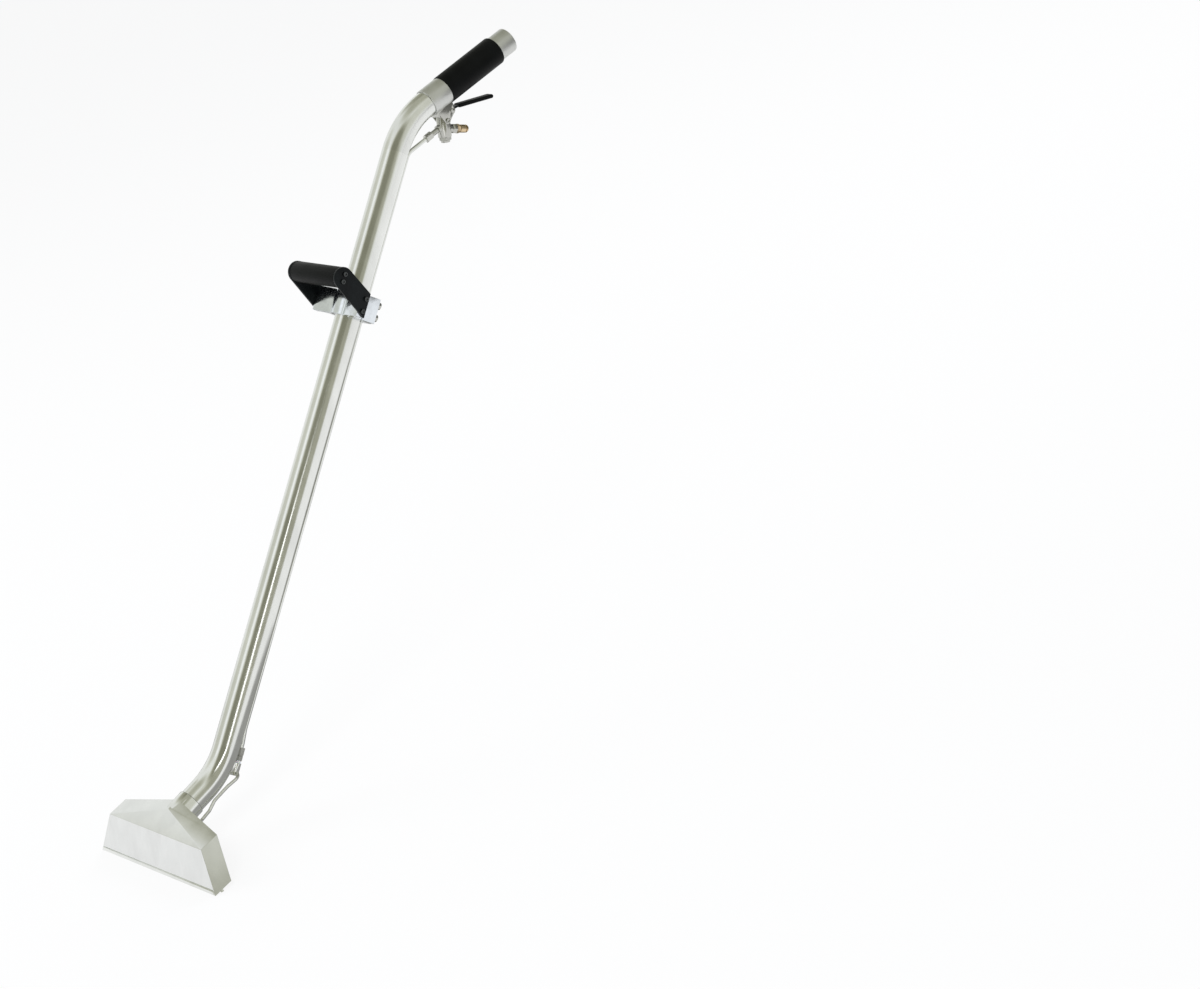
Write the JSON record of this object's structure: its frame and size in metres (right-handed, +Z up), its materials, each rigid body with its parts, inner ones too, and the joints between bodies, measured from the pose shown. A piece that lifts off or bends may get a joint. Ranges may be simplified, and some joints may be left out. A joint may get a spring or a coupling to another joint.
{
  "type": "spot extractor wand",
  "caption": "Stainless hand wand of a spot extractor: spray head with a vacuum slot, bent vacuum tube, trigger valve, solution line and a clamp-on D-handle.",
  "frame": {"origin": "middle of the front lip's flat sole, where the head meets the floor", "axes": "+X across the head to the left hand of the user, +Y back towards the user, +Z up; the wand is in its working pose with both lips on the floor"},
  "size_m": [0.3048, 0.9689, 0.8908],
  "materials": {
    "polished_steel": "mirror polished stainless",
    "plated_steel": "bright plated",
    "brass": "machined",
    "white_tape": "matt",
    "seal_rubber": "matt",
    "black_vinyl": "satin",
    "black_paint": "satin",
    "clamp_alloy": "polished"
  },
  "bodies": {
    "wand": {"front_shell": "polished_steel", "back_plate": "polished_steel", "front_lip": "polished_steel", "rear_lip": "polished_steel", "brace_tube": "polished_steel", "brace_tab": "polished_steel", "horn": "polished_steel", "horn_weld": "polished_steel", "neck_weld": "polished_steel", "lower_bend": "polished_steel", "lance_tube": "polished_steel", "upper_bend": "polished_steel", "handle_collar": "polished_steel", "handle_tube": "polished_steel", "grip_sleeve": "black_vinyl", "valve_bracket": "plated_steel", "bracket_screws": "plated_steel", "valve_body": "plated_steel", "valve_seat": "white_tape", "valve_spring": "plated_steel", "stem_seal": "seal_rubber", "packing_nut": "brass", "bottom_cap": "plated_steel", "inlet_adapter": "plated_steel", "quick_plug": "brass", "outlet_stub": "plated_steel", "outlet_nut": "plated_steel", "lever_pin": "plated_steel", "solution_line": "polished_steel", "line_nut": "plated_steel", "line_adapter": "plated_steel", "line_tape": "white_tape", "feed_boss": "polished_steel", "feed_tube_left": "polished_steel", "feed_tube_right": "polished_steel", "manifold_left": "polished_steel", "manifold_right": "polished_steel", "manifold_plugs": "polished_steel", "manifold_brackets": "polished_steel", "manifold_screws": "plated_steel", "nozzle_bodies": "brass", "nozzle_tips": "brass", "nozzle_tapes": "white_tape"},
    "trigger": {"trigger_lever": "black_paint", "lever_sleeve": "black_vinyl"},
    "stem": {"valve_stem": "plated_steel"},
    "d_handle": {"clamp_front": "clamp_alloy", "clamp_rear": "clamp_alloy", "clamp_bolts": "plated_steel", "handle_arms": "black_paint", "bar_core": "plated_steel", "bar_sleeve": "black_vinyl", "arm_screws": "plated_steel", "bar_screws": "plated_steel"}
  },
  "joints": [
    {"name": "trigger_squeeze", "type": "hinge", "parent": "wand", "child": "trigger", "pos_m": [0, 0.82809, 0.81563], "axis": [1, 0, 0], "range_deg": [0, 13], "stiffness_Nm_per_rad": 0.35, "springref_deg": -8.59},
    {"name": "stem_press", "type": "slide", "parent": "wand", "child": "stem", "axis": [0, -0.2028, -0.9792], "range_m": [0, 0.0024], "deforming": ["valve_spring"]},
    {"name": "d_handle_slide", "type": "slide", "parent": "wand", "child": "d_handle", "axis": [0, 0.6361, 0.7716], "range_m": [-0.12, 0.08]}
  ],
  "couplings": [
    {"joint": "stem_press", "follows": "trigger_squeeze", "m_per_rad": 0.0101}
  ]
}
